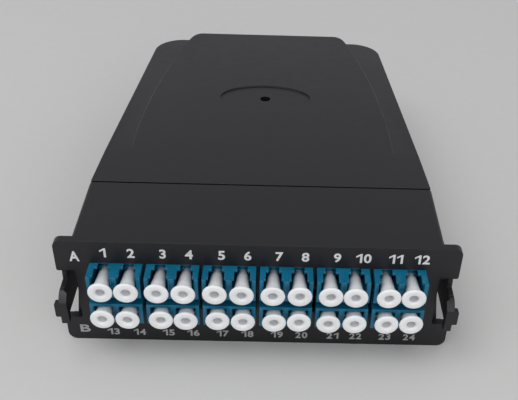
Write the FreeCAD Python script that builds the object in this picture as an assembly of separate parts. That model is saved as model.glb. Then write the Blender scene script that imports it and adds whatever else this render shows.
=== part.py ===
import FreeCAD, Part
import math
import os

# Fibre cassette: a moulded front frame with twelve duplex adapters in two
# rows, a tapering rear housing made of a tray and a cover, two spring latches
# and two multi-fibre adapters in the rear wall.
# Millimetres.  X runs across the front, +Y runs from the front plate to the
# rear, +Z is up.  While building, y = 0 is the front face of the plate;
# everything is moved by -Y_ORIGIN at the end, so that the finished part stands
# centred on its origin.

V = FreeCAD.Vector

# ---------------------------------------------------------------- dimensions
Y_ORIGIN = 61.25          # from the plate's front face to the origin

# front plate and its ears
PLATE_T = 2.0
PLATE_H = 33.0
EAR_X = 49.6              # half width at the ears
FOOT_X = 49.4             # half width of the lower strip
EAR_Z = 23.65             # lower edge of each ear
NOTCH_Z = 7.8             # upper edge of the lower strip
NOTCH_X = 45.0            # inner edge of the open notch
EAR_R = 1.9
FOOT_R = 2.4

# hood behind the plate
HOOD_X = 45.3
HOOD_END = 24.6
HOOD_WALL = 1.8
HOOD_R = 0.9

# rear housing
SEAM = 0.65               # open seam between hood and rear housing
BODY_START = HOOD_END + SEAM
BODY_X_FRONT = 45.05
BODY_X_REAR = 39.3        # half width where the rear corners begin
BODY_END = 118.4
BODY_R = 9.5
WALL = 1.8
FLOOR = 1.8
SPLIT_Z = 20.5            # joint line between tray and cover
TOP_Z = 33.0
SHOULDER_START = 40.0     # where the shoulders begin to fall away
SHOULDER_DROP = 2.7       # how far they have fallen at the rear wall
DECK_T = 1.7
# edge of the raised deck, half plan, front to rear
DECK_EDGE = [(37.3, 26.0), (37.5, 36.0), (37.6, 44.0), (37.45, 52.0),
             (37.0, 60.0), (36.2, 69.0), (35.1, 78.0), (33.8, 87.0),
             (32.2, 96.0), (30.4, 104.5), (28.6, 112.0)]
DECK_REAR_X = 23.8
DECK_LEAN = 0.8           # how far the deck's top edge lies inside that line
DECK_SLOPE = 2.0          # how far the deck's flank leans out over its height

# shallow oval recess with the centre screw
RECESS_Y = 72.4
RECESS_A = 14.1
RECESS_B = 8.0
RECESS_DEPTH = 0.4
SCREW_HOLE_R = 1.6

# duplex adapters
COL_PITCH = 13.9
PORT_PITCH = 6.25
ROW_A_Z = 23.2
ROW_B_Z = 14.45
ADP_X = 6.5               # half width
ADP_LOW = 3.3             # from the port axis to the plain side
ADP_HIGH = 3.1            # from the port axis to the slotted side
ADP_FRONT = -5.4
ADP_REAR = 20.6
COLLAR = 0.45
PORT_X = 2.4              # half width of a port
PORT_LOW = 2.45
PORT_HIGH = 2.35
HOLDER_R = 1.65           # tube that holds the ceramic sleeve
HOLDER_BORE = 0.87
MOUTH_R = 1.15

# dust plugs of the duplex ports
CAP_R = 2.98
CAP_FRONT = -7.7
CAP_T = 0.85
NECK_R = 1.95
TIP_R = 1.04
TIP_END = 4.3

# multi-fibre adapters in the rear wall
MPO_X = 13.0
MPO_Z = 13.1
MPO_W = 6.3               # half width
MPO_H = 4.7               # half height
MPO_OUT = 127.2
MPO_IN = 105.6
MPO_CAP_END = 130.2

# latches
LATCH_IN = 46.45
LATCH_OUT = 48.4
LATCH_WEB = 47.25         # inner face of the arm behind its thick front end
LATCH_LOW = 12.0
LATCH_TOP = 20.8
LATCH_TALL = 23.25        # top of the arm, below the ear's lower edge
LATCH_FRONT = -6.5
LATCH_ROOT = 15.85
PAD_OUT = 49.5


# ------------------------------------------------------------------- helpers
def box(x0, x1, y0, y1, z0, z1):
    return Part.makeBox(x1 - x0, y1 - y0, z1 - z0, V(x0, y0, z0))


def cyl(p, r, h, axis=V(0, 1, 0)):
    return Part.makeCylinder(r, h, p, axis)


def rounded(points, radii, place):
    """Closed wire through 2-D points, each corner rounded by its radius."""
    n = len(points)
    starts, ends, mids = [], [], []
    for i in range(n):
        p = FreeCAD.Vector(points[i][0], points[i][1], 0)
        a = FreeCAD.Vector(points[i - 1][0], points[i - 1][1], 0)
        b = FreeCAD.Vector(points[(i + 1) % n][0], points[(i + 1) % n][1], 0)
        r = radii[i]
        u = (a - p)
        u.normalize()
        w = (b - p)
        w.normalize()
        if r <= 0:
            starts.append(p)
            ends.append(p)
            mids.append(None)
            continue
        half = math.acos(max(-1.0, min(1.0, u.dot(w)))) / 2
        t = r / math.tan(half)
        s = p + u * t
        e = p + w * t
        bis = (u + w)
        bis.normalize()
        centre = p + bis * (r / math.sin(half))
        starts.append(s)
        ends.append(e)
        mids.append(centre - bis * r)
    edges = []
    for i in range(n):
        if mids[i] is not None:
            edges.append(Part.Arc(place(starts[i]), place(mids[i]),
                                  place(ends[i])).toShape())
        nxt = (i + 1) % n
        if (starts[nxt] - ends[i]).Length > 1e-6:
            edges.append(Part.LineSegment(place(ends[i]),
                                          place(starts[nxt])).toShape())
    return Part.Wire(edges)


def prism_xz(points, radii, y0, y1):
    w = rounded(points, radii, lambda p: V(p.x, y0, p.y))
    return Part.Face(w).extrude(V(0, y1 - y0, 0))


def prism_xy(points, radii, z0, z1):
    w = rounded(points, radii, lambda p: V(p.x, p.y, z0))
    return Part.Face(w).extrude(V(0, 0, z1 - z0))


def revolve_y(profile, x, z):
    """Solid of revolution about the line through (x, z) along Y.
    profile is a list of (radius, y), starting and ending on the axis."""
    pts = [V(x + r, y, z) for r, y in profile]
    pts.append(pts[0])
    face = Part.Face(Part.makePolygon(pts))
    return face.revolve(V(x, 0, z), V(0, 1, 0), 360)


def fuse(shapes):
    out = shapes[0]
    if len(shapes) > 1:
        out = out.fuse(shapes[1:])
    return out.removeSplitter()


def cut(shape, tools):
    return shape.cut(tools).removeSplitter()


nodes = {}

columns = [(-2.5 + i) * COL_PITCH for i in range(6)]
rows = {"a": (ROW_A_Z, 1), "b": (ROW_B_Z, -1)}    # slotted side up or down


# --------------------------------------------------------------- front frame
def plate_outline():
    half = [(FOOT_X, 0, FOOT_R), (FOOT_X, NOTCH_Z, 0.5),
            (NOTCH_X, NOTCH_Z, 0.4), (NOTCH_X, EAR_Z, 0.4),
            (EAR_X, EAR_Z, 0.5), (EAR_X, PLATE_H, EAR_R)]
    pts = [(x, z) for x, z, r in half] + [(-x, z) for x, z, r in reversed(half)]
    rad = [r for x, z, r in half] + [r for x, z, r in reversed(half)]
    return pts, rad


pts, rad = plate_outline()
plate = prism_xz(pts, rad, 0, PLATE_T)
hood = prism_xz([(-HOOD_X, 0), (HOOD_X, 0), (HOOD_X, PLATE_H), (-HOOD_X, PLATE_H)],
                [HOOD_R] * 4, PLATE_T - 0.5, HOOD_END)
hx = HOOD_X - HOOD_WALL
hood_in = box(-hx, hx, PLATE_T, HOOD_END + 1, HOOD_WALL, PLATE_H - HOOD_WALL)
# three shelves that the adapters sit between
shelves = [box(-hx - 0.2, hx + 0.2, PLATE_T - 0.2, 12.0, z0, z1)
           for z0, z1 in ((9.85, 10.85), (18.35, 19.35), (26.95, 27.95))]
# block on each side wall that a latch arm grows from
roots = []
for s in (-1, 1):
    b = box(min(s * (HOOD_X - 0.3), s * 48.0), max(s * (HOOD_X - 0.3), s * 48.0),
            LATCH_ROOT + 0.1, LATCH_ROOT + 2.6, LATCH_LOW - 0.3, LATCH_TOP)
    roots.append(b)
# low step behind the foot strip and a gusset on each side wall, behind the notch
FOOT_STEP_Y, FOOT_STEP_Z = 5.0, 5.0
steps, gussets = [], []
for s in (-1, 1):
    x0, x1 = sorted((s * (HOOD_X - 0.3), s * 48.6))
    steps.append(box(x0, x1, PLATE_T - 0.2, FOOT_STEP_Y, 0.0, FOOT_STEP_Z))
    w = [V(s * (HOOD_X - 0.3), PLATE_T - 0.2, 2.0), V(s * 46.8, PLATE_T - 0.2, 2.0),
         V(s * 46.5, PLATE_T - 0.2, 8.0), V(s * 45.45, PLATE_T - 0.2, 16.5),
         V(s * (HOOD_X - 0.3), PLATE_T - 0.2, 16.5)]
    w.append(w[0])
    gussets.append(Part.Face(Part.makePolygon(w)).extrude(V(0, 3.0, 0)))
frame = plate.fuse([hood]).cut([hood_in])
frame = frame.fuse(shelves + roots + steps + gussets)
windows = []
for cx in columns:
    for zc, up in rows.values():
        lo = zc - (ADP_LOW if up > 0 else ADP_HIGH)
        hi = zc + (ADP_HIGH if up > 0 else ADP_LOW)
        windows.append(box(cx - ADP_X - 0.08, cx + ADP_X + 0.08, -1, PLATE_T + 0.01,
                           lo - 0.08, hi + 0.08))
frame = cut(frame, windows)
nodes["front_frame"] = frame


# ------------------------------------------------- outline of the rear housing
def body_prism(inset, z0, z1, y0=BODY_START, y1=None):
    y1 = BODY_END - inset if y1 is None else y1
    slope = (BODY_X_FRONT - BODY_X_REAR) / (BODY_END - BODY_R - BODY_START)
    xf = BODY_X_FRONT - inset - slope * (y0 - BODY_START)
    xr = BODY_X_FRONT - inset - slope * (y1 - BODY_START)
    r = max(BODY_R - inset, 0.5)
    return prism_xy([(-xf, y0), (xf, y0), (xr, y1), (-xr, y1)],
                    [0, 0, r, r], z0, z1)


# ------------------------------------------------------------------ base tray
tray = body_prism(0, 0, SPLIT_Z)
tray = tray.cut([body_prism(WALL, FLOOR, SPLIT_Z + 1, BODY_START - 1)])
# tongue that enters the hood
tx = hx - 0.12
tongue_o = box(-tx, tx, BODY_START - 3.4, BODY_START + 0.6,
               HOOD_WALL + 0.12, SPLIT_Z)
tongue_i = box(-tx + 1.2, tx - 1.2, BODY_START - 4, BODY_START + 1,
               HOOD_WALL + 0.12 + 1.2, SPLIT_Z + 1)
tray = tray.fuse([tongue_o.cut([tongue_i])])
# spool for the spare fibre, with lips that keep the turns down
SPOOL_R = 20.0
SPOOL_Z = 9.0
ring = Part.makeCylinder(SPOOL_R, SPOOL_Z - FLOOR + 0.2, V(0, RECESS_Y, FLOOR - 0.2))
ring = ring.cut([Part.makeCylinder(SPOOL_R - 1.2, 20, V(0, RECESS_Y, FLOOR - 1))])
gaps = []
for k in range(4):
    g = box(-3.0, 3.0, 0, SPOOL_R + 2, FLOOR, SPOOL_Z + 1)
    g.translate(V(0, RECESS_Y, 0))
    g.rotate(V(0, RECESS_Y, 0), V(0, 0, 1), 45 + 90 * k)
    gaps.append(g)
ring = ring.cut(gaps)
lips = []
for k in range(4):
    g = box(-3.5, 3.5, SPOOL_R - 1.0, SPOOL_R + 3.0, SPOOL_Z - 1.0, SPOOL_Z)
    g.translate(V(0, RECESS_Y, 0))
    g.rotate(V(0, RECESS_Y, 0), V(0, 0, 1), 90 * k)
    lips.append(g)
BOSS_TOP = 27.3
boss = Part.makeCylinder(3.2, BOSS_TOP - FLOOR + 0.2, V(0, RECESS_Y, FLOOR - 0.2))
ribs = [box(-0.6, 0.6, RECESS_Y - 6.5, RECESS_Y + 6.5, FLOOR - 0.2, 16.0),
        box(-6.5, 6.5, RECESS_Y - 0.6, RECESS_Y + 0.6, FLOOR - 0.2, 16.0)]
tray = tray.fuse([ring, boss] + lips + ribs)
tray = tray.cut([Part.makeCylinder(0.95, 16.0, V(0, RECESS_Y, BOSS_TOP - 15.9))])
# open-topped notches for the two rear adapters, and a cradle in front of each
notches = [box(s * MPO_X - MPO_W - 0.1, s * MPO_X + MPO_W + 0.1, BODY_END - 4,
               BODY_END + 1, MPO_Z - MPO_H - 0.1, SPLIT_Z + 1) for s in (-1, 1)]
tray = tray.cut(notches)
cradles = []
for s in (-1, 1):
    x = s * MPO_X
    c = box(x - 9.4, x + 9.4, 109.9, 113.5, FLOOR - 0.2, MPO_Z + 2.0)
    c = c.cut([box(x - MPO_W - 0.15, x + MPO_W + 0.15, 109, 114.5,
                   MPO_Z - MPO_H - 0.1, SPLIT_Z)])
    cradles.append(c)
tray = tray.fuse(cradles)
nodes["base_tray"] = tray.removeSplitter()


# ----------------------------------------------------------------- rear cover
def deck_wire(z, out):
    """Edge of the deck at height z, moved outward by `out`."""
    edge = [(x + out, y) for x, y in DECK_EDGE]
    ye = BODY_END + out + DECK_LEAN
    xr = DECK_REAR_X + out
    last = edge[-1]
    right = Part.BSplineCurve()
    right.interpolate([V(x, y, z) for x, y in edge])
    left = Part.BSplineCurve()
    left.interpolate([V(-x, y, z) for x, y in edge])
    # corner between the curved edge and the straight rear edge
    d = V(edge[-1][0] - edge[-2][0], edge[-1][1] - edge[-2][1], 0)
    d.normalize()
    k = 0.55 * (ye - last[1])
    cr = Part.BezierCurve()
    cr.setPoles([V(last[0], last[1], z), V(last[0] + d.x * k, last[1] + d.y * k, z),
                 V(xr + 0.6 * (last[0] - xr), ye, z), V(xr, ye, z)])
    cl = Part.BezierCurve()
    cl.setPoles([V(-last[0], last[1], z), V(-last[0] - d.x * k, last[1] + d.y * k, z),
                 V(-xr - 0.6 * (last[0] - xr), ye, z), V(-xr, ye, z)])
    x0, y0 = edge[0]
    es = [Part.LineSegment(V(-x0, y0, z), V(x0, y0, z)).toShape(),
          right.toShape(), cr.toShape(),
          Part.LineSegment(V(xr, ye, z), V(-xr, ye, z)).toShape(),
          cl.toShape(), left.toShape()]
    return Part.Wire(Part.__sortEdges__(es))


def shoulder_z(y):
    return TOP_Z - SHOULDER_DROP * (y - SHOULDER_START) / (BODY_END - SHOULDER_START)


def wedge(x_half, y0, y1, lift=0.0):
    pts = [V(-x_half, y0, shoulder_z(y0) + lift), V(-x_half, y1, shoulder_z(y1) + lift),
           V(-x_half, y1, TOP_Z + 6), V(-x_half, y0, TOP_Z + 6)]
    pts.append(pts[0])
    return Part.Face(Part.makePolygon(pts)).extrude(V(2 * x_half, 0, 0))


def recess_oval(a, b, z0, z1):
    e = Part.Ellipse(V(0, RECESS_Y, z0), a, b)
    return Part.Face(Part.Wire([e.toShape()])).extrude(V(0, 0, z1 - z0))


body = body_prism(0, SPLIT_Z, TOP_Z)
deck = Part.makeLoft([deck_wire(TOP_Z - 4.0, DECK_SLOPE * 4.0 / SHOULDER_DROP - DECK_LEAN),
                      deck_wire(TOP_Z + 1.0, -DECK_SLOPE / SHOULDER_DROP - DECK_LEAN)],
                     True, True)
outer = body.cut([wedge(60, SHOULDER_START, BODY_END + 10).cut([deck])])
inner_low = body_prism(WALL, SPLIT_Z - 1, TOP_Z - SHOULDER_DROP - DECK_T, BODY_START - 1)
inner_high = body_prism(9.5, SPLIT_Z - 1, TOP_Z - DECK_T, BODY_START - 1)
tongue_o = box(-tx, tx, BODY_START - 3.4, BODY_START + 0.6, SPLIT_Z,
               PLATE_H - HOOD_WALL - 0.12)
tongue_i = box(-tx + 1.2, tx - 1.2, BODY_START - 4, BODY_START + 0.7, SPLIT_Z - 1,
               PLATE_H - HOOD_WALL - 0.12 - 1.2)
cover = outer.cut([inner_low, inner_high]).fuse([tongue_o.cut([tongue_i])])
# pillar that holds the centre screw, with its socket
PILLAR_BOTTOM = BOSS_TOP + 0.1
SEAT_Z = 28.9
cover = cover.fuse([Part.makeCylinder(3.6, TOP_Z - 1.0 - PILLAR_BOTTOM,
                                      V(0, RECESS_Y, PILLAR_BOTTOM)),
                    recess_oval(RECESS_A + 1.2, RECESS_B + 1.2, TOP_Z - 2.4, TOP_Z - 1.2)])
floor_z = TOP_Z - RECESS_DEPTH
cover = cover.cut([recess_oval(RECESS_A, RECESS_B, floor_z, TOP_Z + 1)])
cover = cover.cut([Part.makeCylinder(SCREW_HOLE_R, 6, V(0, RECESS_Y, SEAT_Z)),
                   Part.makeCylinder(1.15, 6, V(0, RECESS_Y, PILLAR_BOTTOM - 1))])
# tabs that close the notches above the rear adapters
tabs = [box(s * MPO_X - MPO_W, s * MPO_X + MPO_W, BODY_END - WALL, BODY_END,
            MPO_Z + MPO_H + 0.1, SPLIT_Z + 0.5) for s in (-1, 1)]
cover = cover.fuse(tabs)
nodes["rear_cover"] = cover.removeSplitter()

# centre screw: pan head with a cross recess
screw = Part.makeCylinder(1.5, 1.2, V(0, RECESS_Y, SEAT_Z + 0.02))
shank = Part.makeCylinder(0.93, 10.0, V(0, RECESS_Y, SEAT_Z - 9.9))
screw = screw.fuse([shank]).cut([
    box(-0.9, 0.9, RECESS_Y - 0.18, RECESS_Y + 0.18, SEAT_Z + 0.6, SEAT_Z + 2),
    box(-0.18, 0.18, RECESS_Y - 0.9, RECESS_Y + 0.9, SEAT_Z + 0.6, SEAT_Z + 2)])
nodes["cover_screw"] = screw.removeSplitter()


# -------------------------------------------------------------------- latches
def latch(s):
    prof = [(LATCH_IN, LATCH_FRONT), (LATCH_OUT, LATCH_FRONT), (LATCH_OUT, 5.3),
            (49.45, 5.3), (49.45, 6.1), (LATCH_OUT, 8.6), (LATCH_OUT, 12.4),
            (48.0, 12.9), (48.0, LATCH_ROOT), (LATCH_WEB, LATCH_ROOT),
            (LATCH_WEB, -4.1), (LATCH_IN, -4.6)]
    rad = [0.35, 0.3, 0, 0.15, 0.2, 0, 0, 0, 0, 0, 0.3, 0.2]
    if s < 0:
        prof = [(-x, y) for x, y in reversed(prof)]
        rad = list(reversed(rad))
    arm = prism_xy(prof, rad, LATCH_LOW, LATCH_TALL)
    # the arm is taller under the ear than in front of it, and its front end
    # is sloped off at the top
    side = [V(-60, LATCH_FRONT - 2, LATCH_TOP - 3.4), V(-60, LATCH_FRONT, LATCH_TOP - 2.1),
            V(-60, -4.9, LATCH_TOP - 0.5), V(-60, -4.0, LATCH_TOP - 0.1),
            V(-60, -1.0, LATCH_TOP), V(-60, 0.1, LATCH_TOP + 0.1),
            V(-60, 0.3, EAR_Z - 0.4), V(-60, PLATE_T + 0.5, EAR_Z - 0.4),
            V(-60, PLATE_T + 0.7, LATCH_TALL + 1), V(-60, LATCH_FRONT - 2, LATCH_TALL + 1)]
    side.append(side[0])
    arm = arm.cut([Part.Face(Part.makePolygon(side)).extrude(V(120, 0, 0))])
    arm = arm.cut([box(-60, 60, 12.2, LATCH_ROOT + 1, LATCH_TOP, LATCH_TALL + 1)])
    # the catch is lower than the arm
    x0, x1 = sorted((s * (LATCH_OUT + 0.0), s * 51.0))
    arm = arm.cut([box(x0, x1, 4.0, 9.5, LATCH_LOW - 1, 13.4),
                   box(x0, x1, 4.0, 9.5, 19.4, LATCH_TALL + 1)])
    # finger pad at the front end
    pad = prism_xz([(s * (LATCH_OUT - 0.4), 14.2), (s * PAD_OUT, 14.2),
                    (s * PAD_OUT, 18.5), (s * (LATCH_OUT - 0.4), 18.5)],
                   [0, 0.35, 0.35, 0], LATCH_FRONT, LATCH_FRONT + 1.5)
    # two short grip ribs across the top of the front end
    ribs = [box(min(s * 47.2, s * 48.25), max(s * 47.2, s * 48.25), y0, y0 + 0.35,
                LATCH_TOP - 0.9, LATCH_TOP - 0.02 + dz) for y0, dz in ((-4.0, 0.1), (-3.1, 0.15))]
    return fuse([arm, pad] + ribs)


nodes["left_latch"] = latch(-1)
nodes["right_latch"] = latch(1)


# ------------------------------------------------------------- duplex adapter
def adapter(cx, zc, up):
    body = box(-ADP_X, ADP_X, ADP_FRONT, ADP_REAR, -ADP_LOW, ADP_HIGH)
    collar = box(-ADP_X, ADP_X, PLATE_T + 0.05, 3.5, -ADP_LOW - COLLAR, ADP_HIGH + COLLAR)
    body = body.fuse([collar])
    tools = []
    for px in (-PORT_PITCH / 2, PORT_PITCH / 2):
        tools.append(box(px - PORT_X, px + PORT_X, ADP_FRONT - 1, 6.0,
                         -PORT_LOW, PORT_HIGH))
        # latch slot in the upper wall: wide mouth, middle, narrow end
        for hw, y0, y1 in ((PORT_X, ADP_FRONT - 1, ADP_FRONT + 0.8),
                           (1.93, ADP_FRONT, -1.5), (1.25, -1.6, 0.5)):
            tools.append(box(px - hw, px + hw, y0, y1, PORT_HIGH - 0.1, ADP_HIGH + 1))
        tools.append(box(px - PORT_X, px + PORT_X, 9.2, ADP_REAR + 1,
                         -PORT_LOW, PORT_HIGH))
        tools.append(box(px - 1.5, px + 1.5, 13.0, ADP_REAR + 1,
                         PORT_HIGH - 0.1, ADP_HIGH + 1))
    # shallow relief in the front face between the two ports
    tools.append(box(-0.45, 0.45, ADP_FRONT - 1, ADP_FRONT + 0.5, -1.2, 1.6))
    body = body.cut(tools)
    holders = [cyl(V(px, 1.2, 0), HOLDER_R, 11.3) for px in (-PORT_PITCH / 2, PORT_PITCH / 2)]
    body = body.fuse(holders)
    bores = []
    for px in (-PORT_PITCH / 2, PORT_PITCH / 2):
        bores.append(cyl(V(px, 0, 0), HOLDER_BORE, 14))
        bores.append(cyl(V(px, 0.5, 0), MOUTH_R, 4.3))
    body = cut(body, bores)
    if up < 0:
        body.rotate(V(0, 0, 0), V(0, 1, 0), 180)
    body.translate(V(cx, 0, zc))
    return body


ports = []
for row in ("a", "b"):
    zc, up = rows[row]
    for i, cx in enumerate(columns):
        nodes["lc_adapter_%s%d" % (row, i + 1)] = adapter(cx, zc, up)
        ports += [(cx - PORT_PITCH / 2, zc, up), (cx + PORT_PITCH / 2, zc, up)]

# ceramic alignment sleeves, two in each adapter
sleeves = []
for x, z, up in ports:
    s = cyl(V(x, 4.9, z), 0.82, 6.5).cut([cyl(V(x, 4, z), 0.635, 9)])
    sleeves.append(s)
nodes["alignment_sleeves"] = Part.makeCompound(sleeves)

# ------------------------------------------------------------------ dust plugs
# each sits a little out of line in its port: turns about Z and X, in degrees
CAP_YAW = [1.2, 0.5, -1.6, -0.7, -1.4, 0.2, -0.7, 1.0, 0.0, -1.4, 0.5, -1.0,
           -1.0, -1.3, 1.8, 0.8, 1.8, 1.9, 1.9, 1.3, -0.9, 0.4, 1.9, 0.9]
CAP_PITCH = [0.3, -0.2, 0.1, 0.4, -0.3, 0.2, 0.5, -0.1, -0.4, 0.3, 0.0, -0.3,
             0.6, 1.0, 0.2, 0.9, -0.3, 0.6, 1.1, -0.5, 1.2, 0.3, 0.2, -1.0]


def dust_cap(x, z, yaw, pitch):
    f = CAP_FRONT + 0.12
    prof = [(0, f + 2.0), (0.5, f + 1.85), (0.85, f + 1.35), (1.08, f + 0.7),
            (1.28, f + 0.22), (1.6, f + 0.02), (1.9, f),
            (CAP_R - 0.3, f), (CAP_R - 0.08, f + 0.1), (CAP_R, f + 0.32),
            (CAP_R, f + CAP_T - 0.25), (CAP_R - 0.2, f + CAP_T),
            (NECK_R + 0.15, f + CAP_T + 0.05), (NECK_R, f + CAP_T + 0.25),
            (NECK_R, -4.45), (1.77, -4.15), (1.38, -1.0), (1.18, 0.4), (TIP_R, 1.0),
            (TIP_R, TIP_END - 0.4),
            (TIP_R - 0.35, TIP_END), (0, TIP_END)]
    cap = revolve_y(prof, x, z)
    # sits a little out of line, about the middle of its tip
    cap.rotate(V(x, 2.65, z), V(0, 0, 1), yaw)
    cap.rotate(V(x, 2.65, z), V(1, 0, 0), pitch)
    return cap


for i, (x, z, up) in enumerate(ports):
    nodes["dust_cap_%02d" % (i + 1)] = dust_cap(x, z, CAP_YAW[i], CAP_PITCH[i])

# --------------------------------------------- plugs behind the duplex adapters
PLUG_END = 36.0


def lc_plug(x, z, up):
    b = box(-2.2, 2.2, 12.7, 26.5, -2.2, 2.1)
    collar = box(-2.2, 2.2, 21.2, 22.2, -2.5, 2.4)
    lever = box(-1.2, 1.2, 15.0, 20.0, 2.0, 2.9)
    ferrule = cyl(V(0, 8.4, 0), 0.62, 4.5)
    boot = Part.makeCone(1.75, 1.0, PLUG_END - 26.5, V(0, 26.5, 0), V(0, 1, 0))
    p = fuse([b, collar, lever, ferrule, boot])
    if up < 0:
        p.rotate(V(0, 0, 0), V(0, 1, 0), 180)
    p.translate(V(x, 0, z))
    return p


for row in ("a", "b"):
    zc, up = rows[row]
    nodes["lc_plugs_" + row] = Part.makeCompound(
        [lc_plug(x, z, u) for x, z, u in ports if abs(z - zc) < 1e-6])


# ------------------------------------------------------- rear adapters and caps
def mpo_adapter(x):
    b = box(x - MPO_W, x + MPO_W, MPO_IN, MPO_OUT, MPO_Z - MPO_H, MPO_Z + MPO_H)
    flange = box(x - 8.6, x + 8.6, 114.2, 116.4, MPO_Z - MPO_H - 0.9, MPO_Z + MPO_H + 0.9)
    b = b.fuse([flange])
    tools = [box(x - 5.0, x + 5.0, 117.6, MPO_OUT + 1, MPO_Z - 3.5, MPO_Z + 3.5),
             box(x - 1.6, x + 1.6, 117.6, MPO_OUT + 1, MPO_Z + 3.4, MPO_Z + 4.0),
             box(x - 5.0, x + 5.0, MPO_IN - 1, 115.0, MPO_Z - 3.5, MPO_Z + 3.5),
             box(x - 3.35, x + 3.35, 114, 118, MPO_Z - 1.35, MPO_Z + 1.35)]
    return cut(b, tools)


def mpo_cap(x):
    plug = box(x - 4.85, x + 4.85, 119.0, MPO_OUT + 0.1, MPO_Z - 3.35, MPO_Z + 3.35)
    key = box(x - 1.4, x + 1.4, 119.8, MPO_OUT + 0.1, MPO_Z + 3.2, MPO_Z + 3.85)
    head = prism_xz([(x - 6.1, MPO_Z - 4.5), (x + 6.1, MPO_Z - 4.5),
                     (x + 6.1, MPO_Z + 4.5), (x - 6.1, MPO_Z + 4.5)],
                    [0.8] * 4, MPO_OUT + 0.05, MPO_CAP_END)
    hollow = box(x - 3.85, x + 3.85, 118, MPO_OUT + 1.6, MPO_Z - 2.35, MPO_Z + 2.35)
    grip = [box(x - 7, x + 7, MPO_OUT + 1.1, MPO_OUT + 2.0, MPO_Z + s * 4.9 - 0.6,
                MPO_Z + s * 4.9 + 0.6) for s in (-1, 1)]
    return cut(fuse([plug, key, head]), [hollow] + grip)


def mpo_plug(x):
    shell = box(x - 4.85, x + 4.85, 98.0, 114.8, MPO_Z - 3.35, MPO_Z + 3.35)
    slide = box(x - 6.1, x + 6.1, 97.5, 105.2, MPO_Z - 4.4, MPO_Z + 4.4)
    ferrule = box(x - 3.2, x + 3.2, 114.0, 117.2, MPO_Z - 1.22, MPO_Z + 1.22)
    boot = Part.makeCone(2.6, 1.7, 9.5, V(x, 97.6, MPO_Z), V(0, -1, 0))
    return fuse([shell, slide, ferrule, boot])


for name, s in (("a", -1), ("b", 1)):
    nodes["mpo_adapter_" + name] = mpo_adapter(s * MPO_X)
    nodes["mpo_cap_" + name] = mpo_cap(s * MPO_X)
    nodes["mpo_plug_" + name] = mpo_plug(s * MPO_X)


# ---------------------------------------------------------------- fibre looms
# twelve coated fibres from one row of plugs fan into a small comb block, and a
# trunk runs from the block to one multi-fibre plug
COMB_X0, COMB_X1 = 37.2, 39.9
COMB_Y0, COMB_STEP = 44.0, 1.25
FIBRE_R = 0.32
TRUNK_R = 1.3


def loom(row, s):
    zc, up = rows[row]
    row_ports = [(x, z) for x, z, u in ports if abs(z - zc) < 1e-6]
    row_ports.sort(key=lambda p: abs(p[0] - s * 60))
    parts = []
    for i, (x, z) in enumerate(row_ports):
        # a short collar at the plug, then the bare fibre straight to the comb
        a = V(x, PLUG_END + 1.4, z)
        b = V(s * (COMB_X0 + 0.4), COMB_Y0 + 1.0 + COMB_STEP * i, z)
        parts.append(cyl(V(x, PLUG_END, z), 0.6, 2.0))
        parts.append(Part.makeCylinder(FIBRE_R, (b - a).Length, a, b - a))
    x0, x1 = sorted((s * COMB_X0, s * COMB_X1))
    y1 = COMB_Y0 + 1.0 + COMB_STEP * 11 + 1.0
    parts.append(box(x0, x1, COMB_Y0, y1, zc - 1.6, zc + 1.6))
    # the trunk runs in short straight lengths from the comb to the plug's boot
    way = [V(s * 38.5, y1 - 0.6, zc), V(s * 38.2, y1 + 3.0, zc - (0.9 if up > 0 else 0.1)),
           V(s * 35.0, 69.0, zc - (4.0 if up > 0 else 0.4)),
           V(s * 29.5, 75.5, 15.4 if up > 0 else 13.8), V(s * 22.5, 80.0, 13.7),
           V(s * 16.5, 83.2, 13.2), V(s * MPO_X, 86.0, MPO_Z), V(s * MPO_X, 88.1, MPO_Z)]
    rings = []
    for i, p in enumerate(way):
        t = V(0, 1, 0) if i in (0, len(way) - 1) else (way[i + 1] - way[i - 1]).normalize()
        u = t.cross(V(0, 0, 1)).normalize()
        w = u.cross(t).normalize()
        pts = [p + u * (TRUNK_R * math.cos(math.pi * (k + 0.5) / 4))
               + w * (TRUNK_R * math.sin(math.pi * (k + 0.5) / 4)) for k in range(8)]
        rings.append(Part.makePolygon(pts + [pts[0]]))
    parts.append(Part.makeLoft(rings, True, True))
    return fuse(parts)


nodes["fibre_loom_a"] = loom("a", -1)
nodes["fibre_loom_b"] = loom("b", 1)

# ---------------------------------------------------------------------- output
os.makedirs("parts", exist_ok=True)
for name in sorted(nodes):
    shape = nodes[name].copy()
    shape.translate(V(0, -Y_ORIGIN, 0))
    shape.exportStep("parts/%s.step" % name)
    bb = shape.optimalBoundingBox()
    print("%-20s solids %2d valid %s vol %9.2f  x %.2f %.2f  y %.2f %.2f  z %.2f %.2f" % (
        name, len(shape.Solids), shape.isValid(), shape.Volume,
        bb.XMin, bb.XMax, bb.YMin, bb.YMax, bb.ZMin, bb.ZMax))
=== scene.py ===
import math

import bmesh
import bpy
from mathutils import Matrix, Vector


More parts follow.
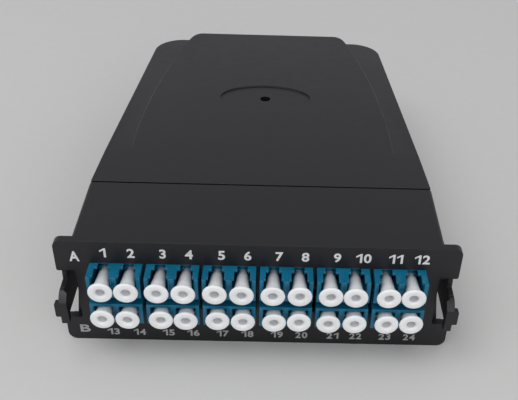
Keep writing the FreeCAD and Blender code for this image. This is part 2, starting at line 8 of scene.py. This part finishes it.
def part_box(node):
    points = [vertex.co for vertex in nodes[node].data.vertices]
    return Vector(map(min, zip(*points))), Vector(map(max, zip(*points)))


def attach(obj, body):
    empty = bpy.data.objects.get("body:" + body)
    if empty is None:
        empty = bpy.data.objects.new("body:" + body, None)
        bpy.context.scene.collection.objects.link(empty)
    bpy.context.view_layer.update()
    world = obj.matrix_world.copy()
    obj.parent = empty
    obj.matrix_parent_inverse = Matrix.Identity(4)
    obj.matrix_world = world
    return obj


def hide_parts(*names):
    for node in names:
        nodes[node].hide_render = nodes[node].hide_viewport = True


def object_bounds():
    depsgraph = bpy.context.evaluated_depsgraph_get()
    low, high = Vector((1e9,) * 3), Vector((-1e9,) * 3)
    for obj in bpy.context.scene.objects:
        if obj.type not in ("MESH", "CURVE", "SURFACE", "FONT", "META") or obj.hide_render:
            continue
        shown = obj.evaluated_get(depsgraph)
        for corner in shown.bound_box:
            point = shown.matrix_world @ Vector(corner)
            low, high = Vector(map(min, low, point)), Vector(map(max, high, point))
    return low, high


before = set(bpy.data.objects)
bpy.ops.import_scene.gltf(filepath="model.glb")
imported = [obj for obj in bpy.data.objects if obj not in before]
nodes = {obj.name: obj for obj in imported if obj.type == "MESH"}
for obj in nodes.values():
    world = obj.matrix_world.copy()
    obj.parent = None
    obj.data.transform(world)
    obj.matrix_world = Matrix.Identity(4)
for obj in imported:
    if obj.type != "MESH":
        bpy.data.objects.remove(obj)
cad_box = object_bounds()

# Looks of a fibre cassette: black moulded front frame and rear housing, blue
# duplex adapters, white dust plugs, printed port numbers.  Metres throughout,
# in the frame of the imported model.

MM = 0.001
scene = bpy.context.scene
Y0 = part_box("front_frame")[0].y / MM      # front face of the plate, in mm


# --------------------------------------------------------------- node helpers
class Mat:
    """A node material around one Principled shader, in object coordinates."""

    def __init__(self, name):
        self.m = bpy.data.materials.new(name)
        self.m.use_nodes = True
        self.t = self.m.node_tree
        self.t.nodes.clear()
        self.out = self.new("ShaderNodeOutputMaterial")
        self.b = self.new("ShaderNodeBsdfPrincipled")
        self.t.links.new(self.b.outputs[0], self.out.inputs[0])
        self.co = self.new("ShaderNodeTexCoord").outputs["Object"]

    def new(self, kind, **kw):
        n = self.t.nodes.new(kind)
        for k, v in kw.items():
            setattr(n, k, v)
        return n

    def link(self, a, b):
        self.t.links.new(a, b)

    def set(self, **kw):
        for k, v in kw.items():
            self.b.inputs[k.replace("_", " ")].default_value = v

    def mapped(self, scale=(1, 1, 1), shift=(0, 0, 0)):
        n = self.new("ShaderNodeMapping")
        n.inputs["Scale"].default_value = scale
        n.inputs["Location"].default_value = shift
        self.link(self.co, n.inputs["Vector"])
        return n.outputs[0]

    def noise(self, scale, detail=2.0, rough=0.5, vec=None, distortion=0.0):
        n = self.new("ShaderNodeTexNoise")
        n.inputs["Scale"].default_value = scale
        n.inputs["Detail"].default_value = detail
        n.inputs["Roughness"].default_value = rough
        n.inputs["Distortion"].default_value = distortion
        self.link(vec if vec is not None else self.co, n.inputs["Vector"])
        return n.outputs["Fac"]

    def range(self, value, lo, hi, a=0.0, b=1.0):
        n = self.new("ShaderNodeMapRange")
        n.inputs["From Min"].default_value = lo
        n.inputs["From Max"].default_value = hi
        n.inputs["To Min"].default_value = a
        n.inputs["To Max"].default_value = b
        self.link(value, n.inputs["Value"])
        return n.outputs["Result"]

    def math(self, op, a, b=None):
        n = self.new("ShaderNodeMath", operation=op)
        for i, v in enumerate((a, b)):
            if v is None:
                continue
            if isinstance(v, (int, float)):
                n.inputs[i].default_value = v
            else:
                self.link(v, n.inputs[i])
        return n.outputs[0]

    def mix(self, fac, a, b, blend="MIX"):
        n = self.new("ShaderNodeMix", data_type="RGBA", blend_type=blend)
        if isinstance(fac, (int, float)):
            n.inputs["Factor"].default_value = fac
        else:
            self.link(fac, n.inputs["Factor"])
        for sock, v in ((n.inputs[6], a), (n.inputs[7], b)):
            if isinstance(v, (tuple, list)):
                sock.default_value = (*v[:3], 1.0)
            else:
                self.link(v, sock)
        return n.outputs[2]

    def edges(self, radius, samples=6):
        """(0..1 near edges, rounded normal) from a small bevel."""
        bev = self.new("ShaderNodeBevel", samples=samples)
        bev.inputs["Radius"].default_value = radius
        geo = self.new("ShaderNodeNewGeometry")
        dot = self.new("ShaderNodeVectorMath", operation="DOT_PRODUCT")
        self.link(bev.outputs[0], dot.inputs[0])
        self.link(geo.outputs["Normal"], dot.inputs[1])
        return self.range(dot.outputs["Value"], 0.995, 0.75), bev.outputs[0]

    def bump(self, height, strength, distance, normal=None):
        n = self.new("ShaderNodeBump")
        n.inputs["Strength"].default_value = strength
        n.inputs["Distance"].default_value = distance
        self.link(height, n.inputs["Height"])
        if normal is not None:
            self.link(normal, n.inputs["Normal"])
        return n.outputs[0]


def black_plastic(name, dark, light, rough, grain=6500.0, bump=0.35, seed=0.0,
                  worn=(0.030, 0.030, 0.032), edge=0.00018, painted_flank_highlight=0.0):
    """Satin black moulding: spark-eroded grain, slow drift of tone and sheen,
    faintly polished edges and a little dust in the grain."""
    k = Mat(name)
    vec = k.mapped(shift=(seed, seed * 0.7, seed * 1.3))
    drift = k.noise(22.0, 3.0, 0.55, vec)
    mottle = k.noise(320.0, 4.0, 0.6, vec)
    fine = k.noise(grain, 2.0, 0.6, vec)
    dust = k.noise(1700.0, 5.0, 0.7, vec)
    near, rounded = k.edges(edge)
    tone = k.math("ADD", k.range(drift, 0.3, 0.7, 0.0, 0.6),
                  k.range(mottle, 0.3, 0.7, 0.0, 0.4))
    col = k.mix(tone, dark, light)
    speck = k.range(fine, 0.35, 0.65, 0.8, 1.2)
    col = k.mix(1.0, col, k.grey(speck), "MULTIPLY")
    col = k.mix(k.math("MULTIPLY", k.range(dust, 0.66, 0.80), 0.25), col, (0.05, 0.05, 0.05))
    patchy = k.math("MULTIPLY", near, k.range(mottle, 0.35, 0.65, 0.2, 1.0))
    col = k.mix(k.math("MULTIPLY", patchy, 0.4), col, worn)
    if painted_flank_highlight:
        # the sloping flanks beside the raised deck are painted a little paler by their slope: a painted
        # highlight along the deck's edges
        split = k.new("ShaderNodeSeparateXYZ")
        coord = k.new("ShaderNodeTexCoord")
        k.link(coord.outputs["Normal"], split.inputs[0])
        tilt = k.math("MULTIPLY", k.range(split.outputs["Z"], 0.30, 0.48),
                      k.range(split.outputs["Z"], 0.93, 0.80))
        flank_highlight_mask = k.math("MULTIPLY", tilt, k.range(mottle, 0.3, 0.7, 0.75 * painted_flank_highlight, painted_flank_highlight))
        col = k.mix(flank_highlight_mask, col, (0.060, 0.060, 0.065))
    k.link(col, k.b.inputs["Base Color"])
    r = k.math("ADD", k.range(mottle, 0.3, 0.7, -0.03, 0.03),
               k.range(drift, 0.3, 0.7, rough - 0.03, rough + 0.03))
    r = k.math("SUBTRACT", r, k.math("MULTIPLY", near, 0.06))
    k.link(r, k.b.inputs["Roughness"])
    k.link(k.bump(fine, bump, 0.00003, rounded), k.b.inputs["Normal"])
    k.set(IOR=1.5, Specular_Tint=(0.94, 0.92, 1.0, 1.0))
    return k.m


def grey(self, value):
    n = self.new("ShaderNodeCombineColor")
    for i in range(3):
        self.link(value, n.inputs[i])
    return n.outputs[0]


Mat.grey = grey


def gloss_plastic(name, dark, light, rough, sss=0.0, radius=0.0008, seed=0.0,
                  bump=0.12, edge=0.00012, painted_edge_highlight=None, thin_ink_and_tip_shade=None):
    """Coloured moulding with a faint orange-peel surface."""
    k = Mat(name)
    vec = k.mapped(shift=(seed, -seed, seed * 0.4))
    drift = k.noise(180.0, 3.0, 0.5, vec)
    peel = k.noise(1500.0, 2.0, 0.5, vec)
    fine = k.noise(9000.0, 1.0, 0.5, vec)
    near, rounded = k.edges(edge)
    col = k.mix(k.range(drift, 0.3, 0.7), dark, light)
    # paler near the edges: a painted edge highlight
    if painted_edge_highlight is not None:
        col = k.mix(k.math("MULTIPLY", near, 0.5), col, painted_edge_highlight)
    if thin_ink_and_tip_shade is not None:
        # darker towards the tip: painted shade where the plug reaches back into the port under the plate
        y0, y1, grey = thin_ink_and_tip_shade
        split = k.new("ShaderNodeSeparateXYZ")
        k.link(k.co, split.inputs[0])
        painted_tip_shade = k.range(split.outputs["Y"], (Y0 + y0) * MM, (Y0 + y1) * MM, 0.0, 0.85)
        col = k.mix(painted_tip_shade, col, grey)
    k.link(col, k.b.inputs["Base Color"])
    k.link(k.range(k.math("ADD", k.math("MULTIPLY", drift, 0.5),
                          k.math("MULTIPLY", fine, 0.5)), 0.3, 0.7,
                   rough - 0.05, rough + 0.07), k.b.inputs["Roughness"])
    n = k.bump(peel, bump, 0.00004, rounded)
    n = k.bump(fine, bump * 0.5, 0.00001, n)
    k.link(n, k.b.inputs["Normal"])
    k.set(IOR=1.5)
    if sss:
        k.set(Subsurface_Weight=sss, Subsurface_Radius=(radius, radius, radius),
              Subsurface_Scale=1.0)
    return k.m


def steel(name):
    k = Mat(name)
    vec = k.mapped((1, 1, 1))
    turn = k.noise(2500.0, 3.0, 0.6, vec)
    spots = k.noise(700.0, 3.0, 0.6, vec)
    near, rounded = k.edges(0.00008)
    col = k.mix(k.range(spots, 0.4, 0.65), (0.05, 0.05, 0.052), (0.14, 0.14, 0.145))
    col = k.mix(k.math("MULTIPLY", near, 0.6), col, (0.4, 0.4, 0.4))
    k.link(col, k.b.inputs["Base Color"])
    k.link(k.range(turn, 0.3, 0.7, 0.25, 0.42), k.b.inputs["Roughness"])
    k.link(k.bump(turn, 0.3, 0.00002, rounded), k.b.inputs["Normal"])
    k.set(Metallic=1.0)
    return k.m


def ceramic(name):
    k = Mat(name)
    vec = k.mapped((1, 0.2, 1))
    ground = k.noise(5000.0, 3.0, 0.6, vec)
    col = k.mix(k.range(ground, 0.3, 0.7), (0.80, 0.79, 0.76), (0.90, 0.89, 0.87))
    k.link(col, k.b.inputs["Base Color"])
    k.link(k.range(ground, 0.3, 0.7, 0.16, 0.26), k.b.inputs["Roughness"])
    k.link(k.bump(ground, 0.15, 0.00001), k.b.inputs["Normal"])
    k.set(IOR=1.9)
    return k.m


def jacket(name):
    """Coated fibre: fine lengthwise drawing marks over a slow tone drift."""
    k = Mat(name)
    drift = k.noise(90.0, 3.0, 0.5)
    fine = k.noise(6000.0, 2.0, 0.6)
    col = k.mix(k.range(drift, 0.3, 0.7), (0.68, 0.50, 0.04), (0.80, 0.62, 0.07))
    k.link(col, k.b.inputs["Base Color"])
    k.link(k.range(fine, 0.3, 0.7, 0.32, 0.5), k.b.inputs["Roughness"])
    k.link(k.bump(fine, 0.15, 0.00002), k.b.inputs["Normal"])
    return k.m


def ink(name, tone, worn):
    """Pad-printed ink, a little thin in places."""
    k = Mat(name)
    thin_ink_and_tip_shade = k.noise(1800.0, 3.0, 0.6)
    slow = k.noise(60.0, 2.0, 0.5)
    f = k.math("MULTIPLY", k.range(thin_ink_and_tip_shade, 0.42, 0.72), 0.55)
    col = k.mix(f, tone, worn)
    col = k.mix(k.math("MULTIPLY", k.range(slow, 0.35, 0.7), 0.18), col, worn)
    k.link(col, k.b.inputs["Base Color"])
    k.link(k.range(thin_ink_and_tip_shade, 0.3, 0.7, 0.5, 0.65), k.b.inputs["Roughness"])
    k.link(k.bump(thin_ink_and_tip_shade, 0.2, 0.00001), k.b.inputs["Normal"])
    return k.m


def floor_paint(name):
    k = Mat(name)
    slow = k.noise(1.3, 2.0, 0.5)
    fine = k.noise(260.0, 4.0, 0.6)
    col = k.mix(k.range(slow, 0.3, 0.7), (0.585, 0.585, 0.58), (0.62, 0.62, 0.61))
    col = k.mix(k.math("MULTIPLY", k.range(fine, 0.3, 0.7), 0.04), col, (0.4, 0.4, 0.4))
    k.link(col, k.b.inputs["Base Color"])
    k.link(k.range(fine, 0.3, 0.7, 0.55, 0.65), k.b.inputs["Roughness"])
    k.link(k.bump(fine, 0.04, 0.0002), k.b.inputs["Normal"])
    return k.m


M = {
    "frame": black_plastic("frame_plastic", (0.0042, 0.0042, 0.0046), (0.0066, 0.0066, 0.0072), 0.42),
    # the housing carries a painted highlight on the flanks beside its raised deck
    "housing": black_plastic("housing_plastic", (0.0052, 0.0050, 0.0060), (0.0080, 0.0077, 0.0090), 0.42, seed=3.1, painted_flank_highlight=0.75),
    "latch": black_plastic("latch_plastic", (0.0044, 0.0044, 0.0048), (0.0068, 0.0068, 0.0072), 0.38, seed=5.7),
    "mpo": black_plastic("mpo_plastic", (0.014, 0.014, 0.015), (0.020, 0.020, 0.021), 0.38, seed=8.3),
    # the blue adapters get a painted edge highlight
    "blue": gloss_plastic("adapter_blue", (0.0012, 0.112, 0.205), (0.0022, 0.150, 0.265), 0.27,
                          painted_edge_highlight=(0.006, 0.19, 0.31)),
    # white caps, with painted shade towards the tip that sits in the port
    "cap": gloss_plastic("cap_white", (0.80, 0.81, 0.83), (0.87, 0.88, 0.89), 0.36, sss=0.3,
                         radius=0.0009, seed=2.2, bump=0.08,
                         thin_ink_and_tip_shade=(-5.8, -0.4, (0.34, 0.36, 0.39))),
    # a greyer copy of the cap white for the dimple: painted shade in the hollow
    "cap_dimple_shade": gloss_plastic("cap_white_dimple_shade", (0.54, 0.55, 0.57), (0.60, 0.61, 0.63), 0.45,
                            sss=0.1, radius=0.0006, seed=2.2, bump=0.08),
    "mpo_cap": gloss_plastic("mpo_cap_plastic", (0.55, 0.56, 0.57), (0.63, 0.64, 0.65), 0.42,
                             sss=0.15, seed=4.4, painted_edge_highlight=(0.72, 0.73, 0.74)),
    "plug": gloss_plastic("plug_blue", (0.03, 0.14, 0.42), (0.05, 0.19, 0.50), 0.33, seed=6.6,
                          painted_edge_highlight=(0.15, 0.3, 0.6)),
    "ceramic": ceramic("ceramic"),
    "fibre": jacket("fibre_jacket"),
    "steel": steel("screw_steel"),
    "ink_a": ink("ink_upper", (0.76, 0.76, 0.76), (0.50, 0.50, 0.51)),
    # the lower row's print is the upper ink painted darker: painted shade under the caps
    "ink_b_painted_shade": ink("ink_lower_painted_shade", (0.38, 0.38, 0.385), (0.20, 0.20, 0.21)),
}


def give(obj, material):
    obj.data.materials.clear()
    obj.data.materials.append(material)
    for p in obj.data.polygons:
        p.material_index = 0


def soften(obj, width, segments=2, angle=32.0):
    """Rounds a node's sharp edges by a small radius, as a moulding has."""
    w = obj.modifiers.new("weld", "WELD")
    w.merge_threshold = 2e-6
    d = obj.modifiers.new("flat", "DECIMATE")
    d.decimate_type = "DISSOLVE"
    d.angle_limit = math.radians(0.1)
    b = obj.modifiers.new("edge", "BEVEL")
    b.width = width
    b.segments = segments
    b.limit_method = "ANGLE"
    b.angle_limit = math.radians(angle)
    b.use_clamp_overlap = True
    b.harden_normals = False
    b.miter_outer = "MITER_ARC"
    for p in obj.data.polygons:
        p.use_smooth = True
    n = obj.modifiers.new("flats", "WEIGHTED_NORMAL")
    n.mode = "FACE_AREA"
    n.weight = 100
    n.thresh = 0.001


by_node = {"front_frame": "frame", "base_tray": "housing", "rear_cover": "housing",
           "left_latch": "latch", "right_latch": "latch", "cover_screw": "steel",
           "alignment_sleeves": "ceramic", "lc_plugs_a": "plug", "lc_plugs_b": "plug",
           "fibre_loom_a": "fibre", "fibre_loom_b": "fibre", "mpo_plug_a": "mpo",
           "mpo_plug_b": "mpo", "mpo_adapter_a": "mpo", "mpo_adapter_b": "mpo",
           "mpo_cap_a": "mpo_cap", "mpo_cap_b": "mpo_cap"}
for name, obj in nodes.items():
    key = by_node.get(name)
    if key is None:
        key = "blue" if name.startswith("lc_adapter") else "cap"
    give(obj, M[key])


# ------------------------------------------------------------------- dust plugs
# Same places and turns as the solids that they stand for.
PITCH, HALF = 13.9, 6.25 / 2
PORTS = [((c - 2.5) * PITCH + s * HALF, z) for z in (23.2, 14.45)
         for c in range(6) for s in (-1, 1)]
YAW = [1.2, 0.5, -1.6, -0.7, -1.4, 0.2, -0.7, 1.0, 0.0, -1.4, 0.5, -1.0,
       -1.0, -1.3, 1.8, 0.8, 1.8, 1.9, 1.9, 1.3, -0.9, 0.4, 1.9, 0.9]
TILT = [0.3, -0.2, 0.1, 0.4, -0.3, 0.2, 0.5, -0.1, -0.4, 0.3, 0.0, -0.3,
        0.6, 1.0, 0.2, 0.9, -0.3, 0.6, 1.1, -0.5, 1.2, 0.3, 0.2, -1.0]
F = -7.58                                    # front of the flange, from the plate
DIMPLE = [(0.0, F + 2.0), (0.35, F + 1.95), (0.62, F + 1.74), (0.85, F + 1.33),
          (1.00, F + 0.90), (1.10, F + 0.52), (1.22, F + 0.24), (1.40, F + 0.09),
          (1.66, F + 0.02)]
FLANGE = [(2.00, F), (2.40, F + 0.01), (2.66, F + 0.05), (2.85, F + 0.15),
          (2.95, F + 0.31), (2.975, F + 0.47), (2.93, F + 0.64), (2.80, F + 0.77),
          (2.60, F + 0.83), (2.25, F + 0.87), (2.07, F + 0.92), (2.00, F + 1.01),
          (1.98, F + 1.20)]
TIP = [(1.24, 0.05), (1.10, 0.35), (1.06, 0.8), (1.03, 1.1), (1.03, 2.4), (1.03, 3.7),
       (0.97, 4.02), (0.80, 4.2), (0.5, 4.28), (0.0, 4.3)]
UPPER = (DIMPLE + FLANGE + [(1.96, F + 1.62), (1.90, F + 1.75), (1.89, -5.0),
                            (1.80, -4.1), (1.62, -2.6), (1.50, -1.2), (1.40, -0.3)] + TIP)
LOWER = (DIMPLE + FLANGE + [(1.99, F + 1.70), (1.99, -4.5), (1.94, -4.2),
                            (1.80, -3.6), (1.62, -2.4), (1.50, -1.2), (1.40, -0.3)] + TIP)
AROUND = 56


def lathe(name, profile, around):
    bm = bmesh.new()
    rings = []
    for r, y in profile:
        if r == 0.0:
            rings.append([bm.verts.new((0, y, 0))])
        else:
            rings.append([bm.verts.new((r * math.cos(2 * math.pi * i / around), y,
                                        r * math.sin(2 * math.pi * i / around)))
                          for i in range(around)])
    for a, b in zip(rings, rings[1:]):
        for i in range(around):
            j = (i + 1) % around
            quad = [a[i % len(a)], a[j % len(a)], b[j % len(b)], b[i % len(b)]]
            face = [v for n, v in enumerate(quad) if v not in quad[:n]]
            bm.faces.new(face)
    bmesh.ops.recalc_face_normals(bm, faces=bm.faces)
    mesh = bpy.data.meshes.new(name)
    bm.to_mesh(mesh)
    bm.free()
    for p in mesh.polygons:
        p.use_smooth = True
    return mesh


for i, (x, z) in enumerate(PORTS):
    name = "dust_cap_%02d" % (i + 1)
    mesh = lathe("plug_%02d" % (i + 1), UPPER if i < 12 else LOWER, AROUND)
    turn = (Matrix.Translation((x, 2.65, z))
            @ Matrix.Rotation(math.radians(TILT[i]), 4, "X")
            @ Matrix.Rotation(math.radians(YAW[i]), 4, "Z")
            @ Matrix.Translation((0, -2.65, 0)))
    mesh.transform(Matrix.Translation((0, Y0 * MM, 0)) @ Matrix.Scale(MM, 4) @ turn)
    o = bpy.data.objects.new("plug_%02d" % (i + 1), mesh)
    scene.collection.objects.link(o)
    give(o, M["cap"])
    # the dimple's faces take the greyer copy, painted shade in the hollow
    mesh.materials.append(M["cap_dimple_shade"])
    for p in mesh.polygons[:AROUND * 5]:
        p.material_index = 1
    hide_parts(name)
    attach(o, name)


# -------------------------------------------------------------------- lettering
# A plain one with a slanted flag; the other characters are in the plain sans face.
ONE = [(0.34, 0.0), (0.54, 0.0), (0.54, 1.0), (0.38, 1.0), (0.0, 0.75), (0.0, 0.57), (0.34, 0.77)]
INK = 0.012                                  # thickness of the print, mm


def glyph(ch):
    """One thin character, height 1: (points with depth 0..1, faces, width)."""
    if ch == "1":
        n = len(ONE)
        pts = [Vector((u, v, d)) for d in (0, 1) for u, v in ONE]
        faces = [tuple(range(n, 2 * n)), tuple(reversed(range(n)))]
        faces += [(i, (i + 1) % n, n + (i + 1) % n, n + i) for i in range(n)]
        return pts, faces, 0.54
    curve = bpy.data.curves.new("glyph", "FONT")
    curve.body = ch
    curve.size = 1.0
    curve.resolution_u = 5
    curve.offset = 0.028
    curve.extrude = 0.004
    tmp = bpy.data.objects.new("glyph", curve)
    scene.collection.objects.link(tmp)
    bpy.context.view_layer.update()
    mesh = bpy.data.meshes.new_from_object(
        tmp.evaluated_get(bpy.context.evaluated_depsgraph_get()))
    xs = [v.co.x for v in mesh.vertices]
    ys = [v.co.y for v in mesh.vertices]
    k = 1.0 / (max(ys) - min(ys))
    pts = [Vector(((v.co.x - min(xs)) * k, (v.co.y - min(ys)) * k,
                   1.0 if v.co.z > 0 else 0.0)) for v in mesh.vertices]
    faces = [tuple(p.vertices) for p in mesh.polygons]
    bpy.data.objects.remove(tmp)
    bpy.data.curves.remove(curve)
    bpy.data.meshes.remove(mesh)
    return pts, faces, (max(xs) - min(xs)) * k


def letters(name, items, material):
    """One flat printed piece from (text, x, z, width, height) in mm; a width of
    None keeps the character's own proportion."""
    bm = bmesh.new()
    for text, x, z, width, height in items:
        parts, pen = [], 0.0
        for ch in text:
            pts, faces, w = glyph(ch)
            parts.append((pen, pts, faces))
            pen += w + 0.13
        total = pen - 0.13
        sx = height if width is None else width / total
        for off, pts, faces in parts:
            vs = [bm.verts.new(((x + (off + p.x - total / 2) * sx) * MM,
                                (Y0 - 0.004 - INK * p.z) * MM,
                                (z + (p.y - 0.5) * height) * MM)) for p in pts]
            for f in faces:
                bm.faces.new([vs[i] for i in f])
    bmesh.ops.remove_doubles(bm, verts=bm.verts, dist=1e-7)
    bmesh.ops.recalc_face_normals(bm, faces=bm.faces)
    mesh = bpy.data.meshes.new(name)
    bm.to_mesh(mesh)
    bm.free()
    o = bpy.data.objects.new(name, mesh)
    scene.collection.objects.link(o)
    give(o, material)
    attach(o, "housing")
    return o


ROW_A = [-37.67, -30.91, -23.19, -16.84, -8.94, -2.57, 5.09, 11.45, 19.2, 25.61, 33.46, 39.92]
ROW_B = [-37.6, -30.76, -23.25, -16.79, -9.13, -2.66, 5.05, 11.45, 19.64, 25.65, 33.32, 39.77]
upper = [(str(i + 1), x, 29.6, None, 2.85) for i, x in enumerate(ROW_A)]
upper.append(("A", -44.72, 28.31, 2.5, 3.15))
lower = [(str(i + 13), x, 2.85, 3.15, 2.2) for i, x in enumerate(ROW_B)]
lower.append(("B", -44.86, 3.81, 2.6, 2.65))
letters("numbers_upper", upper, M["ink_a"])
letters("numbers_lower", lower, M["ink_b_painted_shade"])

# ------------------------------------------------------------------ soft edges
for name, width in (("front_frame", 0.22), ("rear_cover", 0.22), ("base_tray", 0.20),
                    ("left_latch", 0.14), ("right_latch", 0.14),
                    ("mpo_adapter_a", 0.15), ("mpo_adapter_b", 0.15),
                    ("mpo_cap_a", 0.2), ("mpo_cap_b", 0.2), ("cover_screw", 0.05)):
    soften(nodes[name], width * MM)
for name, obj in nodes.items():
    if name.startswith("lc_adapter"):
        soften(obj, 0.10 * MM)

# ------------------------------------------------------------------------ floor
half = 4.0
bm = bmesh.new()
N = 24
grid = [[bm.verts.new((-half + 2 * half * i / N, -half + 2 * half * j / N, 0.0))
         for j in range(N + 1)] for i in range(N + 1)]
for i in range(N):
    for j in range(N):
        bm.faces.new((grid[i][j], grid[i + 1][j], grid[i + 1][j + 1], grid[i][j + 1]))
mesh = bpy.data.meshes.new("floor")
bm.to_mesh(mesh)
bm.free()
floor = bpy.data.objects.new("floor", mesh)
scene.collection.objects.link(floor)
floor.location.z = cad_box[0].z
give(floor, floor_paint("floor_paint"))


# ----------------------------------------------------------------------- lights
def area(name, loc, target, size, power, colour=(1, 1, 1)):
    light = bpy.data.lights.new(name, "AREA")
    light.shape = "RECTANGLE"
    light.size, light.size_y = size
    light.energy = power
    light.color = colour
    o = bpy.data.objects.new(name, light)
    scene.collection.objects.link(o)
    o.location = loc
    o.rotation_mode = "QUATERNION"
    o.rotation_quaternion = (Vector(target) - Vector(loc)).to_track_quat("-Z", "Y")
    return o


area("key", (-0.42, -0.42, 1.32), (0, 0.0, 0), (1.3, 1.1), 10.5)
area("front_fill", (0.45, -1.2, 0.8), (0, -0.03, 0.01), (1.2, 0.9), 5.0, (1.0, 0.995, 0.98))

# a plain pale room, a little brighter towards the horizon than overhead
world = bpy.data.worlds.new("studio")
world.use_nodes = True
wt = world.node_tree
bg = wt.nodes.get("Background")
coord = wt.nodes.new("ShaderNodeTexCoord")
split = wt.nodes.new("ShaderNodeSeparateXYZ")
rise = wt.nodes.new("ShaderNodeMapRange")
rise.inputs["From Min"].default_value = 0.42
rise.inputs["From Max"].default_value = 0.80
rise.inputs["To Min"].default_value = 0.60
rise.inputs["To Max"].default_value = 0.33
wt.links.new(coord.outputs["Generated"], split.inputs[0])
wt.links.new(split.outputs["Z"], rise.inputs["Value"])
wt.links.new(rise.outputs["Result"], bg.inputs["Strength"])
bg.inputs["Color"].default_value = (0.975, 0.975, 1.0, 1)
scene.world = world
scene.view_settings.view_transform = "Standard"
scene.view_settings.look = "None"

# ----------------------------------------------------------------------- camera
FOCAL_PX, WIDE = 800.0, 518.0
yaw, pitch, roll = math.radians(1.128), math.radians(36.3), math.radians(2.004)
fwd = Vector((math.sin(yaw) * math.cos(pitch), math.cos(yaw) * math.cos(pitch), -math.sin(pitch)))
right0 = Vector((math.cos(yaw), -math.sin(yaw), 0.0))
up0 = right0.cross(fwd)
right = right0 * math.cos(roll) + up0 * math.sin(roll)
up = -right0 * math.sin(roll) + up0 * math.cos(roll)
cam_data = bpy.data.cameras.new("camera")
cam = bpy.data.objects.new("camera", cam_data)
scene.collection.objects.link(cam)
cam_data.sensor_width = 36.0
cam_data.lens = FOCAL_PX / WIDE * 36.0
cam_data.shift_x = (WIDE / 2 - 286.4) / WIDE
cam_data.clip_start, cam_data.clip_end = 0.01, 50.0
m = Matrix((( right.x, up.x, -fwd.x, 0.00339),
            ( right.y, up.y, -fwd.y, (Y0 - 148.17) * MM),
            ( right.z, up.z, -fwd.z, 0.15557),
            (0, 0, 0, 1)))
cam.matrix_world = m
scene.camera = cam
